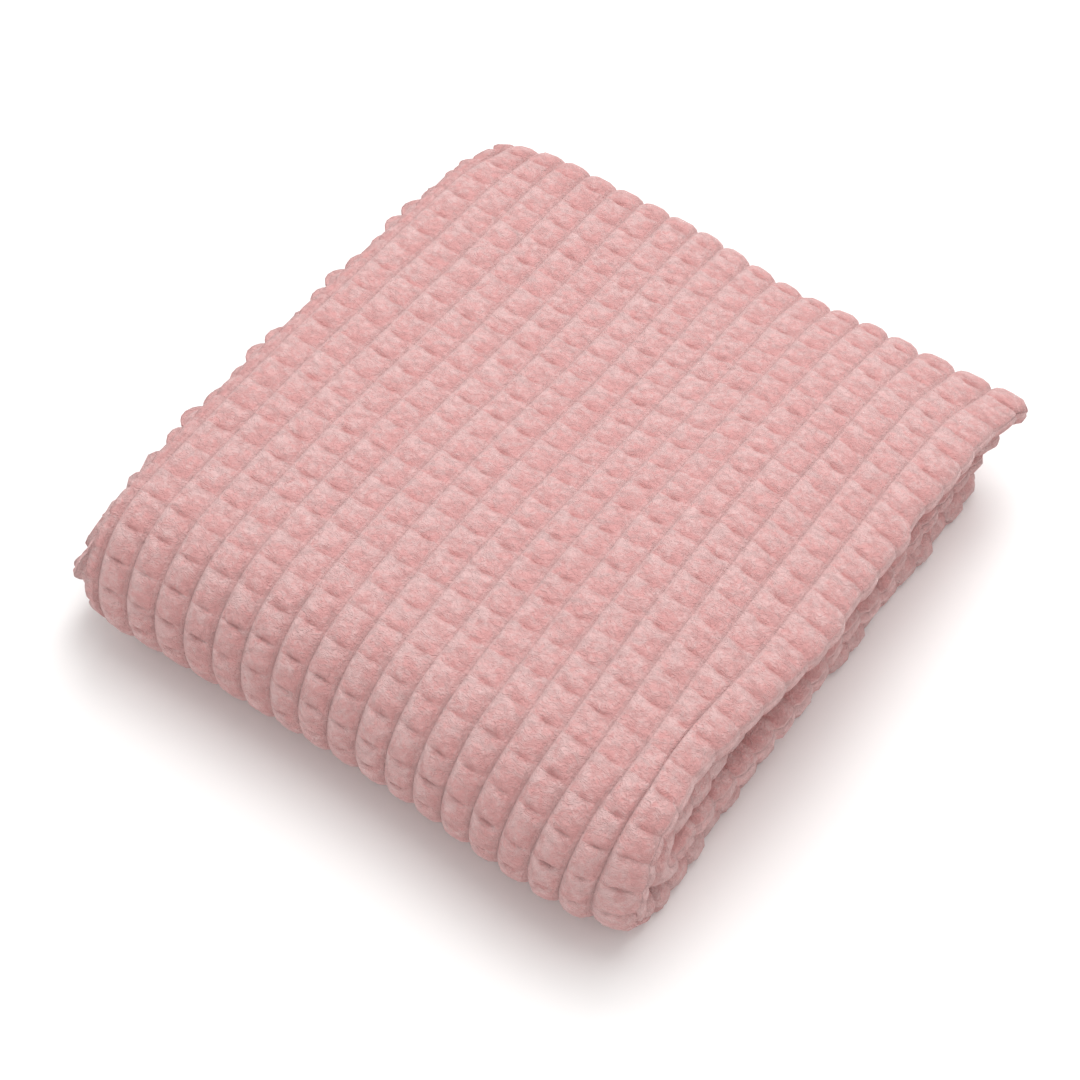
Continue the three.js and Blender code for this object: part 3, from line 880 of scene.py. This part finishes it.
def lay_in_box(piece):
    """Moves the cloth so that its box has its middle at the origin and nothing is below the floor, and
    returns where that middle was."""
    points = np.empty(len(piece.data.vertices) * 3, np.float32)
    piece.data.vertices.foreach_get("co", points)
    points = points.reshape(-1, 3)
    middle = (points.min(0) + points.max(0)) / 2
    points[:, :2] -= middle[:2]
    points[:, 2] = np.maximum(points[:, 2], 0.0)
    piece.data.vertices.foreach_set("co", points.ravel())
    piece.data.update()
    return middle


blanket = make_blanket()
middle = lay_in_box(blanket)


# Floor, light and camera
FLOOR_SIZE = 12.0
ROOM_LIGHT = 0.78
LAMP_SIZE, LAMP_WATTS = 1.6, 17.0
LAMP_AIM = (0, 0, 0.05)

bpy.ops.mesh.primitive_plane_add(size=FLOOR_SIZE)
floor = bpy.context.active_object
floor.name = "floor"
floor.data.materials.append(plain_floor())

world = bpy.data.worlds.new("Soft white room")
world.use_nodes = True
world.node_tree.nodes["Background"].inputs["Color"].default_value = (1, 1, 1, 1)
world.node_tree.nodes["Background"].inputs["Strength"].default_value = ROOM_LIGHT
bpy.context.scene.world = world
bpy.context.scene.view_settings.view_transform = "Standard"


def soft_box(name, place):
    """A round soft light that looks at the blanket."""
    data = bpy.data.lights.new(name, "AREA")
    data.shape = "DISK"
    data.size = LAMP_SIZE
    data.energy = LAMP_WATTS
    lamp = bpy.data.objects.new(name, data)
    lamp.location = place
    lamp.rotation_euler = (Vector(LAMP_AIM) - Vector(place)).to_track_quat("-Z", "Y").to_euler()
    bpy.context.collection.objects.link(lamp)


soft_box("soft_box_back", (-0.4, 1.2, 2.0))
soft_box("soft_box_top", (0.1, 0.3, 2.0))

# The photograph's view: a long lens, looking down over the corner of the big fold and the rolled side
AZIMUTH, ELEVATION, DISTANCE = math.radians(33.9), math.radians(51.3), 1.610
LENS, SENSOR = 93.33, 36.0
AIM = Vector((-0.0239, -0.0093, 0.0)) - Vector((middle[0], middle[1], 0.0))     # moved with the cloth
level = math.cos(ELEVATION)
look = Vector((-math.sin(AZIMUTH) * level, math.cos(AZIMUTH) * level, -math.sin(ELEVATION)))
camera = bpy.data.objects.new("camera", bpy.data.cameras.new("camera"))
camera.data.lens = LENS
camera.data.sensor_width = SENSOR
camera.location = AIM - DISTANCE * look
camera.rotation_euler = look.to_track_quat("-Z", "Y").to_euler()
camera.data.clip_start, camera.data.clip_end = 0.05, 30.0
bpy.context.collection.objects.link(camera)
bpy.context.scene.camera = camera

# How the pieces belong
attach(blanket, BODY)
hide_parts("blanket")
